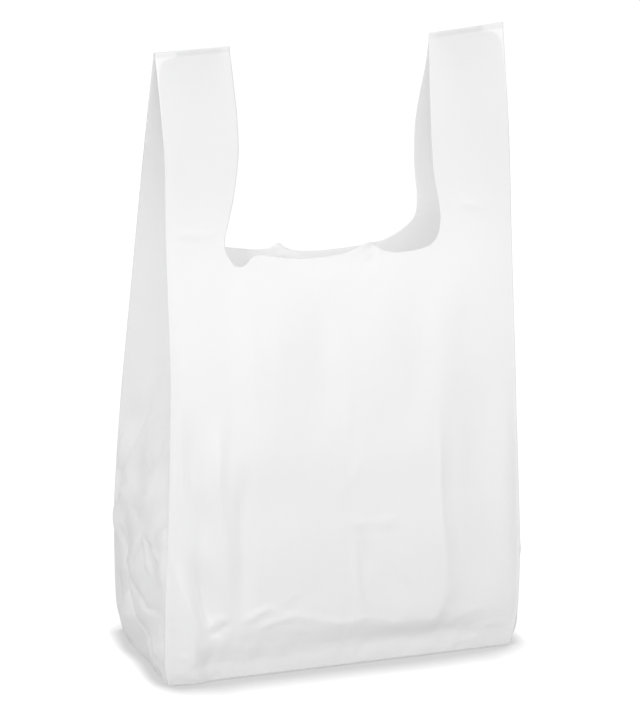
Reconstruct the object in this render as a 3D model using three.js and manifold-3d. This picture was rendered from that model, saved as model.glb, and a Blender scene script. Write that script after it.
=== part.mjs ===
// Plastic carrier bag of the vest kind, standing open on its base.
// It is one piece of film: a tube with a tucked gusset at each side, sealed across the base and across the
// top of both handles, and cut through every ply with one U that leaves the handles.
// Millimetres, +Z up, +X to the right of the front panel, the front panel facing -Y.
// The origin is on the floor, below the middle of the bag.
import * as THREE from "three";
import { mergeVertices } from "three/addons/utils/BufferGeometryUtils.js";
import Module from "manifold-3d";

// Driving dimensions
const FRONT_WIDTH = 305; // width of the flat tube, from side fold to side fold
const GUSSET = 76; // width of each of the two plies that a side gusset folds into
const STANDING_HEIGHT = 523; // from the floor to the top of the handle seals
const BASE_DEPTH = 147; // front to back, where the sides stand upright
const SHOULDER_HEIGHT = 130; // the sides stand upright below this and draw together above it
const HANDLE_WIDTH = 65; // across one flattened handle at its seal
const FRONT_RIM_HEIGHT = 350; // bottom of the U cut in the front panel
const BACK_RIM_HEIGHT = 341; // the back panel's rim droops a little lower
const WALL = 0.6; // one ply, far thicker than real film so that it has a body
const LEAN = 14; // how far the top stands to the right of the base

// Shape of the slack film
const FRONT_BOW = 12; // the front panel bows forwards between the shoulder and the seals
const MOUTH_SAG = 30; // the back panel sags inwards at the middle of the mouth
const SAG_FADE = 90; // height over which that sag dies out above the rim
const FOLD_RADIUS = 12; // roll of the film where the panels turn under the base
const SIDE_SLOPE = 0.3; // above the shoulder a side leans in by this share of its height, as a flat facet
const SIDE_DENT = 0.5; // what is left of a gusset's tuck below the shoulder
const TIP_WIDTH = 0.5; // blunt tip of a full tuck
const FACET_MARGIN = 0.5; // a facet stops this far short of the back fold

// Seals and the U cut
const SEAL_BAND = 5; // height of the welded band at the top of each handle
const SEAL_LEAD = 12; // below the top, where the plies have drawn far enough apart to have a space between
const WAIST = 4; // the U is this much narrower on each side at its waist
const WAIST_HEIGHT = 441;
const HEEL = 10; // and this much wider on each side at its lower corners
const HEEL_RISE = 20; // from the front rim up to the widest place
const CORNER_RISE = 6; // from the rim up to the middle of the turn into it
const CORNER_RUN = 10; // from the side of the U to where its rim runs level
const TAB_HEIGHT = 9; // torn stub of the punched hanging tab
const TAB_FOOT = 22; // width of the stub's steep side
const TAB_SLOPE = 11; // the rim starts to rise this far before the stub's tip
const FRONT_TAB_X = 24;
const BACK_TAB_X = -38;
const CUT_CLEARANCE = 1; // the back panel's cutter starts at least this far in front of its sagging middle

// Fineness of the mesh
const PANEL_COLUMNS = 14;
const LOWER_ROWS = 3;
const UPPER_ROWS = 10;
const FOLD_STEPS = 4;
const CURVE_STEPS = 5;
const CUT_REACH = 200; // the cutters reach this far past the bag
const SHORTEST_ROW = 2;
const MERGE_DISTANCE = 1e-4; // corners nearer than this are one corner

const wasm = await Module();
wasm.setup();

const halfWidth = FRONT_WIDTH / 2;
const sealDepth = 2 * WALL; // half of the four plies that lie face to face at a handle's seal
const sealFoot = STANDING_HEIGHT - SEAL_BAND;

// How far the sides have drawn apart at a height: 0 at the handle seals, 1 at the shoulder and below.
function spread(z) {
  return THREE.MathUtils.clamp((sealFoot - z) / (sealFoot - SHOULDER_HEIGHT), 0, 1);
}

// Distance of a panel's outer face from the middle plane at its side folds, before it turns under the base.
// side is -1 for the front panel and 1 for the back one.
function openDepth(side, z) {
  const s = spread(z);
  const bow = side < 0 ? FRONT_BOW * 4 * s * (1 - s) : 0;
  return sealDepth + (BASE_DEPTH / 2 - sealDepth) * s + bow;
}

// The same distance with that turn, to the outer face or to a face that lies inset from it.
function panelDepth(side, z, inset) {
  const depth = openDepth(side, z);
  if (z >= FOLD_RADIUS) return depth - inset;
  const radius = FOLD_RADIUS - inset;
  return depth - FOLD_RADIUS + Math.sqrt(Math.max(radius ** 2 - (FOLD_RADIUS - z) ** 2, 0));
}

// The back panel's sag: deepest at the middle of the rim, none at the folds, the floor or the seals.
function sag(x, z) {
  const across = (1 - (x / halfWidth) ** 2) ** 2;
  const up = THREE.MathUtils.smoothstep(z, FOLD_RADIUS, BACK_RIM_HEIGHT);
  const above = 1 - THREE.MathUtils.smoothstep(z, BACK_RIM_HEIGHT, BACK_RIM_HEIGHT + SAG_FADE);
  return MOUTH_SAG * across * up * above;
}

// The hollow between a gusset's plies at a height: half its width at the side, how deep the two plies reach
// when they meet, and how deep the side is tucked, which may be less. Its bottom is then a flat facet.
function hollow(z) {
  const half = (openDepth(-1, z) + openDepth(1, z)) / 2;
  const mouth = (panelDepth(-1, z, 0) + panelDepth(1, z, 0)) / 2 - WALL;
  const reach = Math.sqrt(GUSSET ** 2 - (half - WALL / 2) ** 2);
  const leaning = Math.max((z - SHOULDER_HEIGHT) * SIDE_SLOPE, SIDE_DENT);
  const middle = (openDepth(1, z) - openDepth(-1, z)) / 2;
  return { mouth, reach, tuck: Math.min(reach, leaning), middle };
}

// One level section of the film: its outer face with inset 0, its inner face with inset WALL.
// The points run anticlockwise seen from above, starting at the front left.
function section(z, inset) {
  const front = -panelDepth(-1, z, inset);
  const back = panelDepth(1, z, inset);
  const { mouth, reach, tuck, middle } = hollow(z);
  const ply = (inset * Math.hypot(mouth, reach)) / mouth;
  const facet = halfWidth - tuck - inset;
  const sideAt = (y) => Math.max(halfWidth - ply - ((mouth - Math.abs(y - middle)) * reach) / mouth, facet);
  const frontEnd = inset > 0 ? sideAt(front) : halfWidth;
  const backEnd = inset > 0 ? sideAt(back) : halfWidth;
  const meeting = mouth - ((tuck + inset - ply) * mouth) / reach;
  const flat = THREE.MathUtils.clamp(meeting, TIP_WIDTH / 2, back - middle - FACET_MARGIN);
  const points = [];
  for (let c = 0; c <= PANEL_COLUMNS; c++) {
    points.push([THREE.MathUtils.lerp(-frontEnd, frontEnd, c / PANEL_COLUMNS), front]);
  }
  if (inset === 0) points.push([halfWidth, middle - mouth]);
  points.push([facet, middle - flat], [facet, middle + flat]);
  if (inset === 0) points.push([halfWidth, middle + mouth]);
  for (let c = 0; c <= PANEL_COLUMNS; c++) {
    const x = THREE.MathUtils.lerp(backEnd, -backEnd, c / PANEL_COLUMNS);
    points.push([x, back - sag(x, z)]);
  }
  if (inset === 0) points.push([-halfWidth, middle + mouth]);
  points.push([-facet, middle + flat], [-facet, middle - flat]);
  if (inset === 0) points.push([-halfWidth, middle - mouth]);
  return points.map(([x, y]) => new THREE.Vector3(x, y, z));
}

// The heights of the sections, from the floor round the fold and up to the top.
function levels(inset, top) {
  const heights = [];
  for (let i = 0; i < FOLD_STEPS; i++) {
    const turn = (i / FOLD_STEPS) * (Math.PI / 2);
    heights.push(FOLD_RADIUS - (FOLD_RADIUS - inset) * Math.cos(turn));
  }
  for (let i = 0; i < LOWER_ROWS; i++) {
    heights.push(THREE.MathUtils.lerp(FOLD_RADIUS, SHOULDER_HEIGHT, i / LOWER_ROWS));
  }
  for (let i = 0; i < UPPER_ROWS; i++) {
    const z = THREE.MathUtils.lerp(SHOULDER_HEIGHT, sealFoot, i / UPPER_ROWS);
    if (z < top - SHORTEST_ROW) heights.push(z);
  }
  return [...heights, top];
}

// A closed solid through level sections that have the same number of points.
function loft(sections) {
  const count = sections[0].length;
  const index = [];
  for (let r = 0; r < sections.length - 1; r++) {
    for (let c = 0; c < count; c++) {
      const a = r * count + c;
      const b = r * count + ((c + 1) % count);
      index.push(a, b, b + count, a, b + count, a + count);
    }
  }
  const last = (sections.length - 1) * count;
  const flat = (points) => points.map((p) => new THREE.Vector2(p.x, p.y));
  for (const [a, b, c] of THREE.ShapeUtils.triangulateShape(flat(sections[0]), [])) {
    index.push(c, b, a);
  }
  for (const [a, b, c] of THREE.ShapeUtils.triangulateShape(flat(sections[sections.length - 1]), [])) {
    index.push(last + a, last + b, last + c);
  }
  const geometry = new THREE.BufferGeometry().setFromPoints(sections.flat());
  geometry.setIndex(index);
  return solidFrom(geometry);
}

// A three.js geometry as a solid that can be joined and cut.
function solidFrom(geometry) {
  const bare = geometry.clone();
  bare.deleteAttribute("normal");
  bare.deleteAttribute("uv");
  const merged = mergeVertices(bare, MERGE_DISTANCE);
  return new wasm.Manifold(
    new wasm.Mesh({
      numProp: 3,
      vertProperties: new Float32Array(merged.getAttribute("position").array),
      triVerts: new Uint32Array(merged.index.array),
    }),
  );
}

// The bag's whole outer shape, without the welded bands.
function outerShape() {
  return loft(levels(0, sealFoot).map((z) => section(z, 0)));
}

// The space inside it.
function innerSpace() {
  return loft(levels(WALL, STANDING_HEIGHT - SEAL_LEAD).map((z) => section(z, WALL)));
}

// The welded band that closes both handles at the top, where four plies lie face to face.
function sealBand() {
  const band = new THREE.BoxGeometry(FRONT_WIDTH, 2 * sealDepth, SEAL_BAND);
  band.translate(0, 0, STANDING_HEIGHT - SEAL_BAND / 2);
  return solidFrom(band);
}

// Where the two panels' cutters meet: at the middle, or in front of the back panel where that sags past it.
function cutPlane() {
  return Math.min(0, openDepth(1, BACK_RIM_HEIGHT) - MOUTH_SAG - WALL - CUT_CLEARANCE);
}

// The U cut through one panel and the gusset plies beside it, seen from the front.
function cutter(side) {
  const rim = side < 0 ? FRONT_RIM_HEIGHT : BACK_RIM_HEIGHT;
  const tab = side < 0 ? FRONT_TAB_X : BACK_TAB_X;
  const top = STANDING_HEIGHT + CUT_REACH;
  const half = halfWidth - HANDLE_WIDTH;
  const corner = [
    [half - CORNER_RUN, rim],
    [half + HEEL / 2, rim + CORNER_RISE],
    [half + HEEL, FRONT_RIM_HEIGHT + HEEL_RISE],
    [half - WAIST, WAIST_HEIGHT],
    [half, STANDING_HEIGHT],
  ];
  const right = corner.map(([x, z]) => new THREE.Vector2(x, z));
  const left = corner.map(([x, z]) => new THREE.Vector2(-x, z)).reverse();
  const outline = new THREE.Shape();
  outline.moveTo(-half, top);
  outline.lineTo(left[0].x, left[0].y);
  outline.splineThru(left.slice(1));
  outline.quadraticCurveTo(tab - TAB_SLOPE, rim, tab, rim + TAB_HEIGHT);
  outline.quadraticCurveTo(tab + TAB_SLOPE / 2, rim, tab + TAB_FOOT, rim);
  outline.lineTo(right[0].x, right[0].y);
  outline.splineThru(right.slice(1));
  outline.lineTo(half, top);
  outline.closePath();
  const prism = new THREE.ExtrudeGeometry(outline, {
    depth: CUT_REACH,
    bevelEnabled: false,
    curveSegments: CURVE_STEPS,
  });
  prism.rotateX(Math.PI / 2);
  prism.translate(0, cutPlane() + (side > 0 ? CUT_REACH : 0), 0);
  return solidFrom(prism);
}

// The whole bag, with the lean that the film has taken.
function bagGeometry() {
  const whole = outerShape().add(sealBand()).subtract(innerSpace());
  const mesh = whole.subtract(cutter(-1)).subtract(cutter(1)).getMesh();
  const geometry = new THREE.BufferGeometry();
  geometry.setAttribute("position", new THREE.BufferAttribute(new Float32Array(mesh.vertProperties), 3));
  geometry.setIndex(new THREE.BufferAttribute(new Uint32Array(mesh.triVerts), 1));
  geometry.applyMatrix4(new THREE.Matrix4().makeShear(0, 0, 0, 0, LEAN / STANDING_HEIGHT, 0));
  geometry.translate(-LEAN / 2, 0, 0);
  geometry.computeVertexNormals();
  return geometry;
}

const film = new THREE.MeshStandardMaterial({
  name: "white_film",
  color: 0xf4f4f4,
  roughness: 0.4,
  metalness: 0,
});

const bag = new THREE.Mesh(bagGeometry(), film);
bag.name = "carrier_bag";

const part = new THREE.Group();
part.name = "plastic_carrier_bag";
part.add(bag);

export default part;
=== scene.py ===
import math

import bmesh
import bpy
import numpy as np
from mathutils import Matrix, Vector


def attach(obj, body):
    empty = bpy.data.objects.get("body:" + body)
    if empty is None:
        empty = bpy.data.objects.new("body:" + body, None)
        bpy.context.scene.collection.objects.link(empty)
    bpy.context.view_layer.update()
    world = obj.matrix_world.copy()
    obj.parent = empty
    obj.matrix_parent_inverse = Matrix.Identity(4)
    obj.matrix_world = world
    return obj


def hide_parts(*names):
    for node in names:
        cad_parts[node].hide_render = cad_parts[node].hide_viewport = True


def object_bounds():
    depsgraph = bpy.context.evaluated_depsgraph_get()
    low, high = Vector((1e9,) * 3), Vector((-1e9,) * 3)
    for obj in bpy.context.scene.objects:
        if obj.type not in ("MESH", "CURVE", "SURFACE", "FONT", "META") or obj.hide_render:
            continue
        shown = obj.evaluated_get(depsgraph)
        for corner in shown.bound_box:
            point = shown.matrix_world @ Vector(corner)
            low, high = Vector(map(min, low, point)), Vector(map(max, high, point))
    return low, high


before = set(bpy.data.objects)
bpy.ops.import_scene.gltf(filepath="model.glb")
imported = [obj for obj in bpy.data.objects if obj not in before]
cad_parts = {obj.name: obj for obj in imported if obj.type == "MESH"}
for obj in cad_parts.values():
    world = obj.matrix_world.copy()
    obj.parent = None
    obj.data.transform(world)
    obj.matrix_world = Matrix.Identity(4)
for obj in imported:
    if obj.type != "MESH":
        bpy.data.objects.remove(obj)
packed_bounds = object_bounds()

# A vest-style carrier bag of thin white film, standing open on its base.
# Sizes are in millimetres until the mesh is made.
# +Z is up, +X to the right of the front panel, which faces -Y.
MM = 0.001
LEFT, RIGHT = -1, 1
FRONT, BACK = -1, 1

# Overall sizes, from the frame
HEIGHT = round(packed_bounds[1][2] / MM, 1)  # standing height
DEPTH = round(packed_bounds[1][1] / MM, 1)  # from the middle to the front and back folds at the base

# The flat tube that the bag is cut from
HALF = 152.5  # half the front panel's width
GUSSET = 76.0  # width of each of a side gusset's two plies
HALF_ROUND = 2 * HALF + 2 * GUSSET  # a panel and both plies beside it
FULL_ROUND = 2 * HALF_ROUND
FILM = 0.12  # thickness that the closed shell is given

# How it stands
ROLL = 4.0  # radius of the turn under the base
FLAT = DEPTH - ROLL  # how far the base lies flat, from the middle to the turn
SIDE_ROLL = 4.0  # the sides turn in by this much at the floor
SHOULDER = 130.0  # the sides stand upright below this
LEAN = 14.0  # how far the top stands to the right of the base
FLOOR_GAP = 0.2  # the base panels' rise above the floor
TUCK_GAP = 0.6  # the same for the gusset plies that lie on them
FILM_BELOW = FLAT + ROLL * (math.pi / 2 - 1)  # added to a height on the wall, the film's length up to there

# The U cut and the seals
RIM = 352.0  # level that the rims of the U cut are bent from
SEAL = 6.5  # height of the welded band at the top of each handle
SEAL_FADE = (470, 512)  # relief flattens out between these heights, up to the seals
FOLD_FADE = 7.0  # and within this distance of the folds between panels and gussets
PLY_SHORT = 8.0  # the gusset plies are cut this much narrower than the handles' leaves
PLY_DIP = 17.0  # their rims dip this far below the panels', towards the gusset's tip
SEAL_SLOPE = 3.6  # the right handle's seal falls by this much towards its inner edge


# Curves and grids

def smoothstep(x, low, high):
    """Rises smoothly from 0 at low to 1 at high."""
    t = np.clip((np.asarray(x, float) - low) / (high - low), 0, 1)
    return t * t * (3 - 2 * t)


def curve(points, x):
    """A smooth curve through (x, value) points, level beyond its ends and with no overshoot."""
    px, py = np.array(points, float).T
    pitch = np.diff(px)
    slope = np.diff(py) / pitch
    tangent = np.zeros(len(px))
    rising = slope[1:] * slope[:-1] > 0
    both = np.where(rising, slope[1:] + slope[:-1], 1)
    tangent[1:-1][rising] = (2 * slope[1:] * slope[:-1] / both)[rising]
    tangent[0], tangent[-1] = slope[0], slope[-1]
    x = np.clip(np.asarray(x, float), px[0], px[-1])
    i = np.clip(np.searchsorted(px, x, side="right") - 1, 0, len(px) - 2)
    t = (x - px[i]) / pitch[i]
    value = (1 + 2 * t) * (1 - t) ** 2 * py[i] + t ** 2 * (3 - 2 * t) * py[i + 1]
    return value + pitch[i] * (t * (1 - t) ** 2 * tangent[i] - t ** 2 * (1 - t) * tangent[i + 1])


def soft_min(a, b, radius):
    """The lower of two values, rounded where they cross."""
    h = np.clip(0.5 + 0.5 * (b - a) / radius, 0, 1)
    return b + (a - b) * h - radius * h * (1 - h)


def column_shares(length, pitch, near, far):
    """Columns across a strip as shares of its width: at given distances from its ends, evenly between."""
    low, high = near[-1], length - far[-1]
    middle = np.linspace(low, high, max(int(round((high - low) / pitch)), 1) + 1)
    end = [length - f for f in reversed(far[:-1])]
    return np.array([0.0, *near[:-1], *middle, *end, length]) / length


# The film's folds, edges and facets, read off the bag

# How far in front of or behind the middle the folds stand at each height
FRONT_OUT = [
    (0, 70.6), (8, 72.4), (20, 73.3), (101, 72), (172, 69.5), (215, 66), (261, 60), (305, 52),
    (350, 43.5), (439, 27), (500, 8), (518, 0.5),
]
BACK_OUT = [(0, DEPTH), (110, 73.3), (150, 69.5), (340, 34), (500, 3.9), (518, 0.5)]
# How far to the side they stand, before the bag leans
FOLD_X = {
    (FRONT, LEFT): [
        (0, 150.5), (8, 154), (24, 156.2), (60, 156.5), (138, 154.7), (205, 153.3), (287, 151.3),
        (370, 151.4), (447, 149.9), (HEIGHT, 151),
    ],
    (FRONT, RIGHT): [
        (0, 149), (12, 151.5), (40, 154.9), (76, 155.3), (147, 152.1), (215, 149.3), (282, 148.5),
        (413, 149), (477, 149.5), (HEIGHT, 151.3),
    ],
    (BACK, LEFT): [
        (0, 146), (12, 150), (26, 153), (60, 155), (116, 156.3), (209, 156.3), (283, 155.8),
        (410, 154.3), (464, 153.3), (HEIGHT, 151.8),
    ],
    (BACK, RIGHT): [(0, 150), (40, 153), (120, 154), (280, 152.5), (410, 152.5), (HEIGHT, 151.3)],
}
# How far the flat facet above the shoulder has sunk into each side at each height
FACET_TUCK = [
    (SHOULDER, 0), (158, 5.7), (183, 10.3), (206, 15.5), (234, 22.6), (252, 27.5), (290, 42),
    (330, 60), (360, 80),
]

# The handles' inner edges: distance from the middle at each height
INNER = {
    (FRONT, LEFT): [
        (RIM, 95.5), (357, 98.8), (362, 101), (367, 101.9), (371, 101.6), (387, 97.4), (403, 93.2),
        (418, 90.6), (442, 87.4), (470, 86.6), (497, 87.2), (HEIGHT, 87.8),
    ],
    (FRONT, RIGHT): [
        (RIM, 79.5), (354, 82.4), (358, 85.5), (364, 87.6), (374, 88.8), (387, 87.4), (402, 84.9),
        (420, 83.2), (442, 82.8), (470, 83.8), (500, 85.4), (HEIGHT, 86.4),
    ],
    (BACK, LEFT): [
        (RIM, 91.5), (360, 93), (367, 93.5), (376, 91.6), (387, 88), (410, 84.5), (441, 82.5),
        (460, 83.3), (497, 86.6), (HEIGHT, 87.6),
    ],
    (BACK, RIGHT): [
        (RIM, 80), (355, 84), (359, 87.5), (364, 90), (370, 90.8), (376, 90.3), (387, 88), (410, 84.5),
        (441, 82.5), (460, 83.3), (497, 86.6), (HEIGHT, 87.2),
    ],
}
# The rims between the handles, from left to right, with the two torn stubs of the punched tab
RIM_LINE = {
    FRONT: [
        (-95.5, RIM), (-93, 350.2), (-90.6, 349.2), (-88, 349.2), (-84.5, 350.6), (-81, 354),
        (-77, 357), (-72, 357.4), (-62.7, 355.8), (-48, 353), (-32.7, 351.3), (-15, 351),
        (-2.3, 351.7), (9, 354), (17, 356.6), (24.5, 359.4), (28, 357.5), (33, 353.5), (38, 351),
        (48, 348.6), (60, 348.4), (70, 349.4), (76, 350.6), (79.5, RIM),
    ],
    BACK: [
        (-91.5, RIM), (-86, 350.5), (-78, 349), (-66, 347.6), (-57, 346.6), (-50, 347), (-44, 348.8),
        (-38.5, 351.8), (-33, 347), (-24, 343.5), (-10, 342), (0, 341.5), (30, 341), (52, 341.5),
        (64, 344), (73, 347.8), (80, RIM),
    ],
}

# How far the front panel stands out at each height: its belly, and the wide swell above it
BELLY = [
    (0, 2.4), (8, 1.6), (16, 1.4), (22, 3.2), (31, 7.4), (42, 9.8), (60, 10.8), (80, 10.6), (110, 9.2),
    (160, 5), (230, 1.5), (340, 0),
]
SWELL = [(0, 0), (60, 0), (130, 3), (200, 7), (280, 7), (350, 4), (400, 1), (460, 0)]
# The edge of the box-shaped imprint in the front panel, round its lower right corner
IMPRINT = [
    (-8, 43), (17, 45), (43, 37), (60, 34), (75, 37), (82, 45), (86, 62), (82, 93), (80, 156),
    (80, 216), (74, 262),
]
# Where the flat facet at the lower left corner ends, to the left of the middle
CORNER_EDGE = [(24, 131), (35, 130), (54, 132), (76, 138), (97, 145), (118, 152)]
CORNER_RISE = 9.0
BACK_SAG = 34  # how far the back panel sags forwards at the middle of its rim
SIDE_DOME = {LEFT: 5.0, RIGHT: 2.0}  # how far the sides stand out at the middle, below the shoulder

# Creases of the front panel: path in x and z, half width and height outwards. Where they differ from the
# values in soft_crease, the share of the height that is a sharp ridge follows, and the share of the path
# that each end takes to rise.
FRONT_CREASES = (
    # round the imprint
    ([(80, 221), (80, 173), (81, 125), (85, 84), (87, 58), (82, 45)], 4.5, 1.3, 0.6),
    ([(-88, 49), (-68, 60), (-39, 52), (-8, 43), (17, 45), (43, 37), (60, 34)], 5, 1.1, 0.5),
    ([(112, 260), (114, 173), (118, 90), (122, 25)], 20, -3.0),
    ([(141, 240), (140, 150), (143, 60)], 12, 1.6),
    # soft folds down the left
    ([(-140, 240), (-133, 168), (-125, 143), (-124, 115), (-122, 94)], 8, -4.4, 0.3),
    ([(-131, 122), (-125, 90), (-119, 64), (-114, 34)], 12, -9.5, 0.4, 0.45),
    ([(-112, 240), (-114, 177), (-108, 130), (-104, 94), (-101, 76), (-102, 58)], 8, 4.6, 0.3),
    ([(-90, 200), (-92, 140), (-89, 96), (-87, 72), (-91, 52)], 9, -4.6, 0.3),
    # folds that hang from the rim
    ([(-91, 347), (-86, 312), (-84, 269), (-82, 190), (-84, 120)], 14, 2.2),
    ([(-60, 345), (-64, 290), (-62, 213), (-50, 150)], 20, 2.4),
    ([(-20, 330), (-22, 260), (-16, 200)], 18, -2.2),
    ([(30, 340), (34, 280), (36, 200)], 26, 1.6),
    ([(92, 345), (88, 280), (84, 200)], 20, 2.4),
    ([(1, 253), (1, 221), (-1, 194)], 4, 0.6, 0.3),
    # diagonal wrinkles at the lower left, and fine ones at the lower right
    ([(-123, 49), (-113, 54), (-102, 61)], 4.0, 2.0, 0.7),
    ([(-118, 44), (-108, 47), (-100, 56)], 4.0, -2.6, 0.7),
    ([(-93, 50), (-76, 61), (-60, 65)], 4.0, 2.2, 0.7),
    ([(-84, 44), (-63, 51), (-39, 54)], 4.0, 1.8, 0.7),
    ([(-62, 62), (-40, 78)], 5, 0.9, 0.7),
    ([(114, 22), (130, 24), (144, 22)], 3.0, 1.0, 0.7),
    ([(97, 7), (112, 12), (127, 11)], 3.0, 0.8, 0.7),
    ([(88, 30), (104, 38), (126, 40)], 3.4, 0.8, 0.7),
    # the ridge that borders the flat facet at the lower left corner, and the facet's crinkles
    (
        [(-154, 130), (-152, 118), (-145, 97), (-138, 76), (-132, 54), (-130, 35), (-131, 24), (-148, 2)],
        4, 1.2, 0.8, 0.15,
    ),
    ([(-152, 63), (-142, 63)], 3.0, 1.2, 0.7),
    ([(-151, 56), (-140, 54)], 3.0, 1.2, 0.7),
    ([(-148, 31), (-139, 28), (-133, 26)], 3.0, 1.2, 0.7),
    # the handles
    ([(-149, 380), (-106, 376)], 4.0, 0.8, 0.7),
    ([(-149, 456), (-142, 444), (-135, 431)], 4.0, 1.0, 0.7),
    ([(102, 384), (131, 377)], 4.0, 0.8, 0.7),
    # the turn towards the base
    ([(-128, 23), (-106, 35), (-66, 33), (19, 26), (104, 23), (142, 28)], 12, -2.2),
    # the small pinch in the middle, the folds that hang from it and two wrinkles above it
    ([(-8, 129), (10, 129), (26, 128), (44, 127)], 3.4, 3.0, 0.9, 0.2),
    ([(1, 132), (8, 126), (15, 123)], 3.0, 1.8, 0.8),
    ([(-6, 124), (12, 123), (34, 124)], 3.0, -0.8, 0.5),
    ([(2, 123), (4, 105), (7, 84), (11, 63), (16, 45)], 4.6, 1.8, 0.6),
    ([(11, 121), (15, 100), (16, 83)], 4.5, -1.5, 0.2),
    ([(12, 184), (7, 175), (3, 165)], 4, 1.2, 0.5),
    ([(5, 171), (-5, 158), (-18, 152)], 4, 1.0, 0.5),
)
BACK_CREASES = (
    ([(-80, 300), (-70, 180), (-76, 60)], 18, 2.4),
    ([(10, 280), (16, 160), (8, 60)], 20, 2.0),
    ([(80, 300), (74, 180), (82, 60)], 18, 2.2),
)
# Creases of the left side, with paths in y and z. The front is at the negative y.
LEFT_CREASES = (
    # beside the back fold
    ([(72, 152), (68, 134), (62, 112)], 12, -4.4, 0.8, 0.2),
    # above the knot where the creases meet
    ([(-27, 199), (-7, 167), (9, 143)], 4, 1.8, 0.8, 0.2),
    ([(17, 173), (0, 177), (-18, 183)], 3, 1.6, 0.8, 0.2),
    ([(54, 145), (28, 133), (1, 125)], 4, -2.6, 0.8, 0.2),
    # the creases that fan out below it
    ([(-16, 122), (-40, 113), (-66, 106)], 5, 2.6, 0.8, 0.2),
    ([(-16, 120), (-6, 100), (5, 79)], 4, -2.4, 0.8, 0.2),
    ([(-12, 122), (-26, 100), (-44, 84)], 4, 1.8, 0.8, 0.2),
    # the two long creases towards the foot
    ([(57, 110), (32, 76), (4, 65), (-36, 59), (-70, 64)], 5, -3.2, 0.8, 0.2),
    ([(32, 76), (13, 53), (-14, 37), (-45, 24), (-72, 15)], 5, -3.0, 0.8, 0.2),
)

# Rows of the grid: across the base, round the turn and up the wall, closer together where the film is
# crumpled, cut or sealed
BASE_ROWS = np.linspace(0, 1, 6)[:-1]
TURN_ROWS = np.linspace(0, math.pi / 2, 8)[:-1]
WALL_ROWS = np.concatenate([
    np.arange(ROLL, 112, 2.5),
    np.arange(112, 332, 4.8),
    np.arange(332, RIM - 1, 2.6),
    [RIM],
    np.arange(RIM + 2.4, 385, 2.4),
    np.arange(385, 512, 7.0),
    [512, 515, 516.6, 517.6, 518.4, 520.0, 521.6, 522.4, HEIGHT],
])
FIRST_WALL = len(BASE_ROWS) + len(TURN_ROWS)
RIM_ROW = FIRST_WALL + int(np.argmin(abs(WALL_ROWS - RIM)))
ROWS = FIRST_WALL + len(WALL_ROWS)

# Columns of each part of a strip, as shares of that part's width. The front and back strips share them.
FOLD_STEPS = (0.5, 1.2, 2.2, 3.6, 5.5)
EDGE_STEPS = (1.2, 2.8)
HANDLE_SHARES = {
    hand: column_shares(HALF - INNER[(FRONT, hand)][0][1], 2.8, FOLD_STEPS, EDGE_STEPS)
    for hand in (LEFT, RIGHT)
}
RIM_WIDTH = INNER[(FRONT, LEFT)][0][1] + INNER[(FRONT, RIGHT)][0][1]
MIDDLE_SHARES = column_shares(RIM_WIDTH, 3.0, EDGE_STEPS, EDGE_STEPS)
TIP_SHARES = np.linspace(0, 1, 6)


def row_heights(columns):
    """The height of each row, alike in all columns. Rows of the base and the turn are filled in later."""
    return np.tile(np.concatenate([np.zeros(FIRST_WALL), WALL_ROWS])[:, None], (1, columns))


def panel_places(side):
    """Flat x and height of a panel's grid points, with columns and rows bent to follow the U cut."""
    left, right = INNER[(side, LEFT)][0][1], INNER[(side, RIGHT)][0][1]
    first = -HALF + (HALF - left) * HANDLE_SHARES[LEFT]
    middle = -left + (left + right) * MIDDLE_SHARES
    last = HALF - (HALF - right) * HANDLE_SHARES[RIGHT][::-1]
    across = np.concatenate([first, middle[1:], last[1:]])
    left_column = len(first) - 1
    right_column = left_column + len(middle) - 1
    x = np.tile(across, (ROWS, 1))
    z = row_heights(len(across))
    above = np.arange(ROWS) >= RIM_ROW
    for hand, part in ((LEFT, slice(0, left_column + 1)), (RIGHT, slice(right_column, None))):
        edge = curve(INNER[(side, hand)], z[above, 0])
        share = (HALF - abs(x[above, part])) / (HALF - INNER[(side, hand)][0][1])
        x[above, part] = hand * (HALF - share * (HALF - edge)[:, None])
    inside = (across >= across[left_column]) & (across <= across[right_column])
    bend = np.where(inside, curve(RIM_LINE[side], across) - RIM, 0)
    fade = np.where(z > RIM, 0, 1 - smoothstep(RIM - z, 0, 70))
    return x, z + bend * fade, left_column, right_column


# Relief that the film has taken, as heights outwards from each panel

def along(path, x, z):
    """Distance to the left of a path (negative to the right), and how far along it the nearest place is."""
    path = np.array(path, float)
    length = np.hypot(*np.diff(path, axis=0).T)
    start = np.concatenate([[0], np.cumsum(length)])
    best = np.full(x.shape, np.inf)
    signed = np.zeros(x.shape)
    share = np.zeros(x.shape)
    for i in range(len(path) - 1):
        d = (path[i + 1] - path[i]) / length[i]
        rx, rz = x - path[i][0], z - path[i][1]
        t = np.clip(rx * d[0] + rz * d[1], 0, length[i])
        gap = np.hypot(rx - t * d[0], rz - t * d[1])
        nearer = gap < best
        best = np.where(nearer, gap, best)
        signed = np.where(nearer, gap * np.sign(d[0] * rz - d[1] * rx), signed)
        share = np.where(nearer, (start[i] + t) / start[-1], share)
    return signed, share


def soft_crease(x, z, path, width, height, sharp=0.0, ends=0.35):
    """A ridge (or a valley, if height is negative) along a path. It tapers out at both ends."""
    signed, share = along(path, x, z)
    taper = smoothstep(share, 0, ends) * smoothstep(1 - share, 0, ends)
    reach = abs(signed) / width
    tent = np.clip(1 - reach, 0, 1) ** 1.5
    bell = np.exp(-1.6 * reach ** 2)
    return height * taper * (sharp * tent + (1 - sharp) * bell)


def ledge(x, z, path, width, height, fall):
    """The film stands forward to the left of a path, easing down over its fall, and drops to its right."""
    signed, share = along(path, x, z)
    taper = smoothstep(share, 0, 0.25) * smoothstep(1 - share, 0, 0.25)
    rise = smoothstep(signed, -width, width * 0.2)
    fade = np.exp(-(np.clip(signed, 0, None) / fall) ** 2)
    return height * taper * rise * fade


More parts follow.
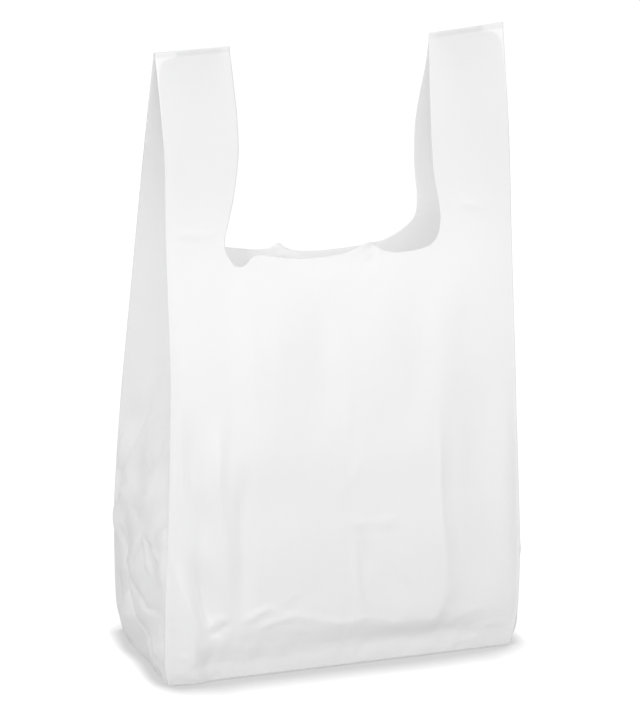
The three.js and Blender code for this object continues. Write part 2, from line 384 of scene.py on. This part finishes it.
def crumple(x, z, seed, low, high, count):
    """Flat facets that meet in straight creases, as crumpled film has, about -1 to 1. Their sizes run from
    low to high."""
    rng = np.random.default_rng(seed)
    bent_x = x + 5 * np.sin(z / 31 + seed) + 3 * np.sin(x / 17)
    bent_z = z + 5 * np.sin(x / 27 + seed * 2) + 3 * np.sin(z / 19)
    total = np.zeros(x.shape)
    weight = 0.0
    for size in np.geomspace(high, low, count):
        turn = rng.uniform(0, math.pi)
        phase = rng.uniform(0, 1)
        t = (bent_x * math.cos(turn) + bent_z * math.sin(turn)) / size + phase
        total += size * (4 * abs(t - np.floor(t + 0.5)) - 1)
        weight += size
    return total / weight * 2


def corner_facet(x, z):
    """The flat facet at the front panel's lower left corner, tilted forwards up to the ridge beside it."""
    edge = curve(CORNER_EDGE, z)
    fade = (1 - smoothstep(z, 60, 118)) * smoothstep(z, -12, 12)
    ramp = np.where(x < -edge, (x + HALF) / (HALF - edge), np.exp(-((x + edge) / 11) ** 2))
    return CORNER_RISE * fade * ramp


def tab_stub(x, z, middle, width, low, high, seed):
    """Where the punched tab tore off the rim, and how crinkled its stub is there."""
    near = np.exp(-((x - middle) / width) ** 2) * smoothstep(z, low, high)
    return near, crumple(x * 1.6, z, seed, low=6, high=16, count=5)


def front_relief(x, z):
    h = curve(BELLY, z) * np.clip(1 - (abs(x) / HALF) ** 4, 0, 1)
    h += curve(SWELL, z) * np.clip(1 - ((x + 20) / (HALF + 20)) ** 2, 0, 1)
    h += ledge(x, z, IMPRINT, width=16, height=3.6, fall=38)
    h += sum(soft_crease(x, z, *fold) for fold in FRONT_CREASES)
    h += corner_facet(x, z)
    near_base = (1 - smoothstep(z, 26, 100)) * smoothstep(z, 0, 8)
    h += 0.55 * near_base * crumple(x, z, seed=4, low=9, high=30, count=9)
    wavy = crumple(x * 1.4, z * 0.7, seed=11, low=30, high=90, count=5)
    h += 0.5 * (1 - smoothstep(z, 120, 300)) * wavy
    near_tab, crinkle = tab_stub(x, z, middle=26, width=17, low=330, high=348, seed=21)
    # the front stub hangs inwards a little as well
    return h + near_tab * (1.5 * crinkle - 1.2)


def back_relief(x, z):
    across = np.clip(1 - (abs(x + 12) / 140) ** 2, 0, 1) ** 1.4
    h = -BACK_SAG * across * smoothstep(z, 60, 341) * (1 - smoothstep(z, 352, 372))
    h += 0.7 * (1 - smoothstep(z, 90, 200)) * crumple(x, z, seed=7, low=14, high=50, count=9)
    h += sum(soft_crease(x, z, *fold) for fold in BACK_CREASES)
    near_tab, crinkle = tab_stub(x, z, middle=-38, width=14, low=322, high=342, seed=22)
    return h + near_tab * 1.6 * crinkle


def side_bulge(hand, y, z):
    """How far a side stands out of its flat plane below and about the shoulder."""
    dome = np.clip(1 - (y / GUSSET) ** 2, 0, 1)
    h = SIDE_DOME[hand] * dome * (1 - smoothstep(z, 70, 190)) * smoothstep(z, -40, 20)
    # the crumpling stops short of the back fold
    toward_front = 0.35 + 0.65 * smoothstep(dome, 0, 0.35)
    toward_back = 0.05 + 0.95 * smoothstep(dome, 0, 0.5)
    rough = (1 - smoothstep(z, 120, 300)) * np.where(y > 0, toward_back, toward_front)
    coarse = crumple(y + 40 * hand, z, seed=31 + hand, low=26, high=90, count=6)
    fine = crumple(y, z, seed=41 + hand, low=7, high=20, count=6)
    h += rough * (3.6 * coarse + 0.3 * fine)
    if hand == LEFT:
        h += sum(soft_crease(y, z, *fold) for fold in LEFT_CREASES) * smoothstep(dome, 0, 0.2)
    return h


# Places of the grid points

def fold_place(side, hand, z):
    """Where the fold between a panel and a gusset stands at each height."""
    out = FRONT_OUT if side == FRONT else BACK_OUT
    return hand * curve(FOLD_X[(side, hand)], z), side * curve(out, z)


def panel_wall(side, x, z):
    """Where a panel's points stand above the turn, from their flat places."""
    left_x, left_y = fold_place(side, LEFT, z)
    right_x, right_y = fold_place(side, RIGHT, z)
    share = (x + HALF) / (2 * HALF)
    relief = front_relief(x, z) if side == FRONT else back_relief(x, z)
    relief *= smoothstep(HALF - abs(x), 0, FOLD_FADE) * (1 - smoothstep(z, *SEAL_FADE))
    return left_x + (right_x - left_x) * share, left_y + (right_y - left_y) * share + side * relief


def ply_wall(hand, side, s, z):
    """Where a gusset ply's points stand above the turn, from their distance s from the panel's fold."""
    front_x, front_y = fold_place(FRONT, hand, z)
    back_x, back_y = fold_place(BACK, hand, z)
    half = (back_y - front_y) / 2
    y = (back_y + front_y) / 2 + side * half * (1 - s / GUSSET)
    edge = front_x + (back_x - front_x) * (y - front_y) / np.maximum(back_y - front_y, 1e-6)
    # the ply runs straight in towards the gusset's tip, or lies in the sunken facet if that is nearer
    full = np.sqrt(np.clip(GUSSET ** 2 - half ** 2, 0, None)) * s / GUSSET
    past = full - curve(FACET_TUCK, z)
    tuck = np.maximum(soft_min(full, full - past, 1.6), 0) * (z > SHOULDER)
    if side == BACK:
        # a narrow pleat where the back ply meets the facet
        pleat = 1.5 * np.exp(-((past - 0.5) / 1.8) ** 2) - 1.8 * np.exp(-((past + 4) / 2.5) ** 2)
        pleat *= smoothstep(z, 134, 150) * (1 - smoothstep(z, 255, 300))
        tuck += pleat * smoothstep(s, 0, FOLD_FADE)
    bulge = side_bulge(hand, y, z) * smoothstep(s, 0, FOLD_FADE) * (1 - smoothstep(z, *SEAL_FADE))
    bulge *= 1 - 0.75 * smoothstep(z, 300, 350)
    return edge - hand * tuck + hand * bulge, y


def put_base(points, base):
    """Fills a strip's rows below its wall. base gives x, y and z at a distance from the bottom seal."""
    foot = points[FIRST_WALL]
    for row, share in enumerate(BASE_ROWS):
        points[row] = np.stack(base(FLAT * share), axis=1)
    x, y, z = base(FLAT)
    for row, turn in enumerate(TURN_ROWS, len(BASE_ROWS)):
        out, up = math.sin(turn), 1 - math.cos(turn)
        turned = x + (foot[:, 0] - x) * out, y + (foot[:, 1] - y) * out, z + (foot[:, 2] - z) * up
        points[row] = np.stack(turned, axis=1)


def panel_strip(side):
    """A panel's points, their flat places and which of its faces stay above the rim."""
    x, z, left_column, right_column = panel_places(side)
    points = np.zeros((*x.shape, 3))
    wall = slice(FIRST_WALL, None)
    points[wall, :, 0], points[wall, :, 1] = panel_wall(side, x[wall], z[wall])
    points[wall, :, 2] = z[wall]
    narrowed = points[FIRST_WALL, :, 0] * (1 - SIDE_ROLL / HALF)
    level = np.ones(x.shape[1])
    put_base(points, lambda r: (narrowed, side * r * level, FLOOR_GAP * level))
    keep = np.ones(x.shape[1] - 1, bool)
    keep[left_column:right_column] = False
    return points, x, keep


def ply_strip(hand, side):
    """The same for a gusset ply. Above the rim its columns follow its cut edge. On the base it lies in an
    L-shaped tuck."""
    start = HALF - INNER[(side, hand)][0][1]
    first = start * HANDLE_SHARES[hand]
    s = np.concatenate([first, (start + (GUSSET - start) * TIP_SHARES)[1:]])
    edge_column = len(first) - 1
    grid = np.tile(s, (ROWS, 1))
    z = row_heights(len(s))
    above = np.arange(ROWS) >= RIM_ROW
    inner = HALF - curve(INNER[(side, hand)], z[above, 0])
    inner -= PLY_SHORT * smoothstep(z[above, 0], RIM - 4, RIM + 14)
    grid[above, : edge_column + 1] *= (inner / start)[:, None]
    fade = np.where(z > RIM, 1 - smoothstep(z - RIM, 0, 44), 1 - smoothstep(RIM - z, 0, 90))
    z -= PLY_DIP * fade * smoothstep(s, start - 30, start - 6)
    points = np.zeros((*grid.shape, 3))
    wall = slice(FIRST_WALL, None)
    points[wall, :, 0], points[wall, :, 1] = ply_wall(hand, side, grid[wall], z[wall])
    points[wall, :, 2] = z[wall]
    foot = abs(points[FIRST_WALL, :, 0])
    fold = foot[0]

    def base(r):
        opened = r * GUSSET / FLAT
        tucked = s < GUSSET - opened
        x = hand * (np.where(tucked, fold - s, fold - GUSSET + opened) - SIDE_ROLL)
        x += hand * (foot - fold) * (r / FLAT) ** 6  # the edge of the base follows the wall's foot
        y = side * np.where(tucked, r, (GUSSET - s) * FLAT / GUSSET)
        return x, y, TUCK_GAP + 0.5 * smoothstep(s, GUSSET - opened - 1, GUSSET - opened + 1)

    put_base(points, base)
    return points, grid, np.arange(len(s) - 1) < edge_column


# The mesh

def bag_ring():
    """The film's middle surface as a ring of columns: front panel, right gusset, back panel, left gusset.
    It gives the points, their flat places along the ring, which faces stay above the rim, and for each
    column the one on the far side of the seals that it is welded to."""
    strips = {
        "front": panel_strip(FRONT),
        "back": panel_strip(BACK),
        "right near": ply_strip(RIGHT, FRONT),
        "right far": ply_strip(RIGHT, BACK),
        "left near": ply_strip(LEFT, FRONT),
        "left far": ply_strip(LEFT, BACK),
    }
    last = {name: strip[0].shape[1] - 1 for name, strip in strips.items()}
    # each strip's columns in the ring's order, and its flat places as places along the ring
    ring = (
        ("front", range(0, last["front"]), lambda g: g + HALF),
        ("right near", range(0, last["right near"]), lambda g: g + 2 * HALF),
        ("right far", range(last["right far"], 0, -1), lambda g: HALF_ROUND - g),
        ("back", range(last["back"], 0, -1), lambda g: HALF_ROUND + HALF - g),
        ("left far", range(0, last["left far"]), lambda g: HALF_ROUND + 2 * HALF + g),
        ("left near", range(last["left near"], 0, -1), lambda g: FULL_ROUND - g),
    )
    points, flat, keep, places = [], [], [], {}
    for name, columns, place in ring:
        strip_points, grid, strip_keep = strips[name]
        points.append(strip_points[:, columns])
        flat.append(place(grid[:, columns]))
        keep.append(strip_keep[[c - 1 if columns.step < 0 else c for c in columns]])
        for c in columns:
            places[(name, c)] = len(places)
    # a column that two strips share is found under the strip that comes first round the ring
    shared = {
        ("front", last["front"]): ("right near", 0),
        ("right far", 0): ("back", last["back"]),
        ("back", 0): ("left far", 0),
        ("right near", last["right near"]): ("right far", last["right far"]),
        ("left far", last["left far"]): ("left near", last["left near"]),
        ("left near", 0): ("front", 0),
    }

    def find(name, c):
        return places[shared.get((name, c), (name, c))]

    partner = np.arange(len(places))
    for one, other in (("front", "back"), ("right near", "right far"), ("left near", "left far")):
        for c in range(last[one] + 1):
            partner[find(other, c)] = find(one, c)
    return np.concatenate(points, axis=1), np.concatenate(flat, axis=1), np.concatenate(keep), partner


def close_seals(points, flat, partner):
    """Joins each column of the bottom and top rows to its partner, and slopes the right handle's seal."""
    for row in (0, ROWS - 1):
        points[row, :, 1] = 0
        points[row] = points[row, partner]
    on_panel = (flat[-1] <= 2 * HALF) | ((flat[-1] >= HALF_ROUND) & (flat[-1] <= HALF_ROUND + 2 * HALF))
    points[-1, :, 2] = np.where(on_panel, HEIGHT, HEIGHT - 0.5)
    # from nothing at the right handle's outer edge to the full slope at its inner edge
    inwards = np.clip((149 - points[..., 0]) / 62, 0, 1) * (points[..., 0] > 60)
    points[..., 2] -= SEAL_SLOPE * inwards * smoothstep(points[..., 2], 440, 515)


def film_map(mesh, flat, corners):
    """The film's own map: places round the tube and along it, both as shares of the way round."""
    rows = np.concatenate([BASE_ROWS * FLAT, FLAT + TURN_ROWS * ROLL, WALL_ROWS + FILM_BELOW])
    values = []
    for face in corners:
        first_column = face[0][1]
        for row, column in face:
            lap = FULL_ROUND if column < first_column else 0
            values += [(flat[row, column] + lap) / FULL_ROUND, rows[row] / FULL_ROUND]
    mesh.uv_layers.new(name="film").data.foreach_set("uv", values)


def film_mesh(name):
    """The film's middle surface as a mesh, with the U cut left open and both seals welded."""
    points, flat, keep, partner = bag_ring()
    close_seals(points, flat, partner)
    points[..., 0] += LEAN * (points[..., 2] / HEIGHT - 0.5)
    columns = points.shape[1]
    ids = np.arange(ROWS * columns).reshape(ROWS, columns)
    for row in (0, ROWS - 1):
        ids[row] = ids[row, partner]
    corners = []
    for r in range(ROWS - 1):
        for c in np.flatnonzero(keep) if r >= RIM_ROW else range(columns):
            d = (c + 1) % columns
            corners.append(((r, c), (r, d), (r + 1, d), (r + 1, c)))
    mesh = bpy.data.meshes.new(name)
    faces = [[int(ids[corner]) for corner in face] for face in corners]
    mesh.from_pydata([tuple(p) for p in (points * MM).reshape(-1, 3)], [], faces)
    film_map(mesh, flat, corners)
    used = bmesh.new()
    used.from_mesh(mesh)
    bmesh.ops.delete(used, geom=[v for v in used.verts if not v.link_faces], context="VERTS")
    used.to_mesh(mesh)
    used.free()
    mesh.validate()
    mesh.polygons.foreach_set("use_smooth", [True] * len(mesh.polygons))
    return mesh


def closed_film(mesh, name):
    """The finished piece: the middle surface given its thickness as one closed shell."""
    rough = bpy.data.objects.new(name + "_surface", mesh)
    bpy.context.scene.collection.objects.link(rough)
    shell = rough.modifiers.new("thickness", "SOLIDIFY")
    shell.thickness = FILM * MM
    shell.offset = 0
    shell.use_even_offset = False
    bpy.context.view_layer.update()
    made = bpy.data.meshes.new_from_object(rough.evaluated_get(bpy.context.evaluated_depsgraph_get()))
    made.name = name
    bpy.data.objects.remove(rough)
    obj = bpy.data.objects.new(name, made)
    bpy.context.scene.collection.objects.link(obj)
    return obj


# Materials

STREAK_WIDTH, STREAK_LENGTH = 3.85, 200.0  # of the faint streaks that drawing leaves in the film
GRAIN = 11.1  # size of the film's soft unevenness
HANDLE_PAINTED_SHADE = (340, 440)  # painted shade: the handles are painted a little greyer between these heights
EMBOSSED = 1.2  # height of the raised line along the middle of each seal

FLOOR_COLOUR = "BCBCBC"
SHADOW_BESIDE, SHADOW_BEFORE = 14, 38  # how far the painted contact shadow reaches from the bag
WORLD_LIGHT = 0.9


def linear(hex_colour):
    """An sRGB hex colour as linear RGBA."""
    parts = [int(hex_colour[i:i + 2], 16) / 255 for i in (0, 2, 4)]
    return (*[c / 12.92 if c <= 0.04045 else ((c + 0.055) / 1.055) ** 2.4 for c in parts], 1)


def add_node(tree, kind, settings=None, values=None, links=None):
    """A node with its properties, its sockets' values and the sockets that feed it."""
    made = tree.nodes.new(kind)
    for key, value in (settings or {}).items():
        setattr(made, key, value)
    for key, value in (values or {}).items():
        made.inputs[key].default_value = value
    for key, (source, socket) in (links or {}).items():
        tree.links.new(source.outputs[socket], made.inputs[key])
    return made


def new_material(name):
    material = bpy.data.materials.new(name)
    material.use_nodes = True
    material.node_tree.nodes.clear()
    return material, material.node_tree


def white_film():
    """High-density polyethylene film, blown and drawn. The eye gets a satin sheen over a milky body that
    lets part of the light through, with faint streaks along the way it was drawn."""
    material, tree = new_material("white_film")
    place = add_node(tree, "ShaderNodeTexCoord")
    streak_scale = (1 / (STREAK_WIDTH * MM), 1 / (STREAK_WIDTH * MM), 1 / (STREAK_LENGTH * MM))
    drawn = add_node(
        tree, "ShaderNodeMapping", values={"Scale": streak_scale}, links={"Vector": (place, "Object")}
    )
    streaks = add_node(
        tree, "ShaderNodeTexNoise", values={"Scale": 1.0, "Detail": 3.0},
        links={"Vector": (drawn, "Vector")},
    )
    grain = add_node(
        tree, "ShaderNodeTexNoise",
        values={"Scale": 1 / (GRAIN * MM), "Detail": 4.0, "Roughness": 0.55},
        links={"Vector": (place, "Object")},
    )
    uneven = add_node(
        tree, "ShaderNodeMath", {"operation": "MULTIPLY_ADD"},
        {1: 0.35}, {0: (streaks, "Fac"), 2: (grain, "Fac")},
    )
    # the seals at the handles' tops let less light through, and have a raised line along their middle
    film_place = add_node(tree, "ShaderNodeUVMap", {"uv_map": "film"})
    on_film = add_node(tree, "ShaderNodeSeparateXYZ", links={"Vector": (film_place, "UV")})
    seal_start = (FILM_BELOW + HEIGHT - SEAL) / FULL_ROUND
    in_seal = add_node(
        tree, "ShaderNodeMapRange",
        values={"From Min": seal_start, "From Max": seal_start + 0.5 / FULL_ROUND},
        links={"Value": (on_film, "Y")},
    )
    on_line = add_node(
        tree, "ShaderNodeMath", {"operation": "COMPARE"},
        {1: seal_start + SEAL / 2 / FULL_ROUND, 2: EMBOSSED / 2 / FULL_ROUND}, {0: (on_film, "Y")},
    )
    height = add_node(
        tree, "ShaderNodeMath", {"operation": "MULTIPLY_ADD"},
        {1: 0.5}, {0: (on_line, "Value"), 2: (uneven, "Value")},
    )
    bump = add_node(
        tree, "ShaderNodeBump", values={"Strength": 0.16, "Distance": 0.6 * MM},
        links={"Height": (height, "Value")},
    )
    # painted shade: the handles are painted a little greyer, rising between these heights, to darken them
    on_bag = add_node(tree, "ShaderNodeSeparateXYZ", links={"Vector": (place, "Object")})
    painted_shade_up_handles = add_node(
        tree, "ShaderNodeMapRange",
        values={"From Min": HANDLE_PAINTED_SHADE[0] * MM, "From Max": HANDLE_PAINTED_SHADE[1] * MM},
        links={"Value": (on_bag, "Z")},
    )
    colour_with_painted_shade = add_node(
        tree, "ShaderNodeMixRGB",
        values={"Color1": linear("FCFCFC"), "Color2": linear("F7F7F7")},
        links={"Fac": (painted_shade_up_handles, "Result")},
    )
    body = add_node(
        tree, "ShaderNodeBsdfPrincipled",
        values={"Roughness": 0.36, "IOR": 1.5},
        links={"Base Color": (colour_with_painted_shade, "Color"), "Normal": (bump, "Normal")},
    )
    glow = add_node(
        tree, "ShaderNodeBsdfTranslucent", values={"Color": linear("FBFBFB")},
        links={"Normal": (bump, "Normal")},
    )
    glow_share = add_node(
        tree, "ShaderNodeMapRange", values={"To Min": 0.38, "To Max": 0.32},
        links={"Value": (in_seal, "Result")},
    )
    film = add_node(
        tree, "ShaderNodeMixShader",
        links={"Fac": (glow_share, "Result"), 1: (body, "BSDF"), 2: (glow, "BSDF")},
    )
    # light inside the film's thickness passes on, so that the shell's two faces act as one ply
    face = add_node(tree, "ShaderNodeNewGeometry")
    clear = add_node(tree, "ShaderNodeBsdfTransparent", values={"Color": linear("FFFFFF")})
    ply = add_node(
        tree, "ShaderNodeMixShader",
        links={"Fac": (face, "Backfacing"), 1: (film, "Shader"), 2: (clear, "BSDF")},
    )
    add_node(tree, "ShaderNodeOutputMaterial", links={"Surface": (ply, "Shader")})
    return material


def white_floor():
    """White paper sweep. The camera sees it as pure white, with a painted shadow that darkens it softly
    where the bag hems it in.
    """
    material, tree = new_material("white_floor")
    plain = add_node(tree, "ShaderNodeBsdfDiffuse", values={"Color": linear(FLOOR_COLOUR)})
    seen = add_node(tree, "ShaderNodeBsdfDiffuse", values={"Color": linear("5A5A5A")})
    # the painted shadow reaches further out in front of the bag than beside it
    place = add_node(tree, "ShaderNodeTexCoord")
    on_floor = add_node(tree, "ShaderNodeSeparateXYZ", links={"Vector": (place, "Object")})
    from_left = add_node(
        tree, "ShaderNodeMapRange", values={"From Min": -172 * MM, "From Max": -120 * MM},
        links={"Value": (on_floor, "X")},
    )
    from_right = add_node(
        tree, "ShaderNodeMapRange", values={"From Min": 165 * MM, "From Max": 120 * MM},
        links={"Value": (on_floor, "X")},
    )
    before = add_node(
        tree, "ShaderNodeMath", {"operation": "MULTIPLY"},
        links={0: (from_left, "Result"), 1: (from_right, "Result")},
    )
    reach = add_node(
        tree, "ShaderNodeMapRange",
        values={"To Min": SHADOW_BESIDE * MM, "To Max": SHADOW_BEFORE * MM},
        links={"Value": (before, "Value")},
    )
    # painted shadow: ambient occlusion near the bag darkens the white emission that the camera sees
    hemmed_for_painted_shadow = add_node(
        tree, "ShaderNodeAmbientOcclusion", {"samples": 16}, links={"Distance": (reach, "Result")}
    )
    shade = add_node(
        tree, "ShaderNodeMapRange",
        values={"From Min": 0.5, "From Max": 0.95, "To Min": 0.56, "To Max": 0.94},
        links={"Value": (hemmed_for_painted_shadow, "AO")},
    )
    white_lift_with_painted_shadow = add_node(
        tree, "ShaderNodeEmission", values={"Color": linear("FFFFFF")},
        links={"Strength": (shade, "Result")},
    )
    white = add_node(tree, "ShaderNodeAddShader", links={0: (seen, "BSDF"), 1: (white_lift_with_painted_shadow, "Emission")})
    rays = add_node(tree, "ShaderNodeLightPath")
    pick = add_node(
        tree, "ShaderNodeMixShader",
        links={"Fac": (rays, "Is Camera Ray"), 1: (plain, "BSDF"), 2: (white, "Shader")},
    )
    add_node(tree, "ShaderNodeOutputMaterial", links={"Surface": (pick, "Shader")})
    return material


def white_world():
    """White behind the bag for the camera, plain soft light for everything else."""
    world = bpy.data.worlds.new("white_room")
    world.use_nodes = True
    tree = world.node_tree
    tree.nodes.clear()
    rays = add_node(tree, "ShaderNodeLightPath")
    strength = add_node(
        tree, "ShaderNodeMapRange", values={"To Min": WORLD_LIGHT, "To Max": 1.0},
        links={"Value": (rays, "Is Camera Ray")},
    )
    light = add_node(
        tree, "ShaderNodeBackground", values={"Color": linear("FFFFFF")},
        links={"Strength": (strength, "Result")},
    )
    add_node(tree, "ShaderNodeOutputWorld", links={"Surface": (light, "Background")})
    bpy.context.scene.world = world


# Light, floor and camera

# Softboxes: name, place, what they point at, size across in metres and power in watts
SOFTBOXES = (
    ("key_from_the_front_left", (-2.4, -2.6, 2.4), (0, 0, 0.25), 1.0, 38),
    ("fill_from_the_front", (-0.2, -3.3, 0.9), (0, 0, 0.3), 1.5, 12.5),
    ("fill_from_the_right", (1.9, -2.6, 1.6), (0, 0, 0.25), 1.5, 7),
)
FLOOR_REACH = 12.0  # metres from the middle to the floor's edges

# The camera, fitted to the bag's corners in the photograph
CAMERA_TURN = -19.0  # degrees round from the front, towards the left side
CAMERA_RISE = 17.9  # degrees above level
CAMERA_DISTANCE = 4994
CAMERA_AIM = (-3.67, -4.82, 249.47)
FOCAL_LENGTH, PHOTO_HEIGHT = 6000, 716  # in pixels of the photograph
SENSOR = 24  # height of the camera's sensor


def softbox(name, place, aim, size, power):
    data = bpy.data.lights.new(name, "AREA")
    data.shape = "SQUARE"
    data.size = size
    data.energy = power
    lamp = bpy.data.objects.new(name, data)
    lamp.location = place
    lamp.rotation_euler = (Vector(aim) - Vector(place)).to_track_quat("-Z", "Y").to_euler()
    bpy.context.scene.collection.objects.link(lamp)


def floor_plane(material):
    mesh = bpy.data.meshes.new("floor")
    corners = [(x * FLOOR_REACH, y * FLOOR_REACH, 0) for x, y in ((-1, -1), (1, -1), (1, 1), (-1, 1))]
    mesh.from_pydata(corners, [], [(0, 1, 2, 3)])
    mesh.materials.append(material)
    floor = bpy.data.objects.new("floor", mesh)
    bpy.context.scene.collection.objects.link(floor)
    return floor


def photo_camera():
    """A long lens from the front left and a little above, as in the photograph."""
    turn, rise = math.radians(CAMERA_TURN), math.radians(CAMERA_RISE)
    back = Vector((math.sin(turn) * math.cos(rise), -math.cos(turn) * math.cos(rise), math.sin(rise)))
    right = Vector((math.cos(turn), math.sin(turn), 0))
    data = bpy.data.cameras.new("camera")
    data.sensor_fit = "VERTICAL"
    data.sensor_height = SENSOR
    data.lens = SENSOR * FOCAL_LENGTH / PHOTO_HEIGHT
    data.clip_end = 100
    camera = bpy.data.objects.new("camera", data)
    camera.location = (Vector(CAMERA_AIM) + CAMERA_DISTANCE * back) * MM
    camera.rotation_euler = Matrix((right, back.cross(right), back)).transposed().to_euler()
    bpy.context.scene.collection.objects.link(camera)
    bpy.context.scene.camera = camera


bag = closed_film(film_mesh("plastic_carrier_bag"), "plastic_carrier_bag")
bag.data.materials.append(white_film())
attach(bag, "root")
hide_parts("carrier_bag")

floor = floor_plane(white_floor())
white_world()
for lamp in SOFTBOXES:
    softbox(*lamp)
photo_camera()
bpy.context.scene.view_settings.view_transform = "Standard"
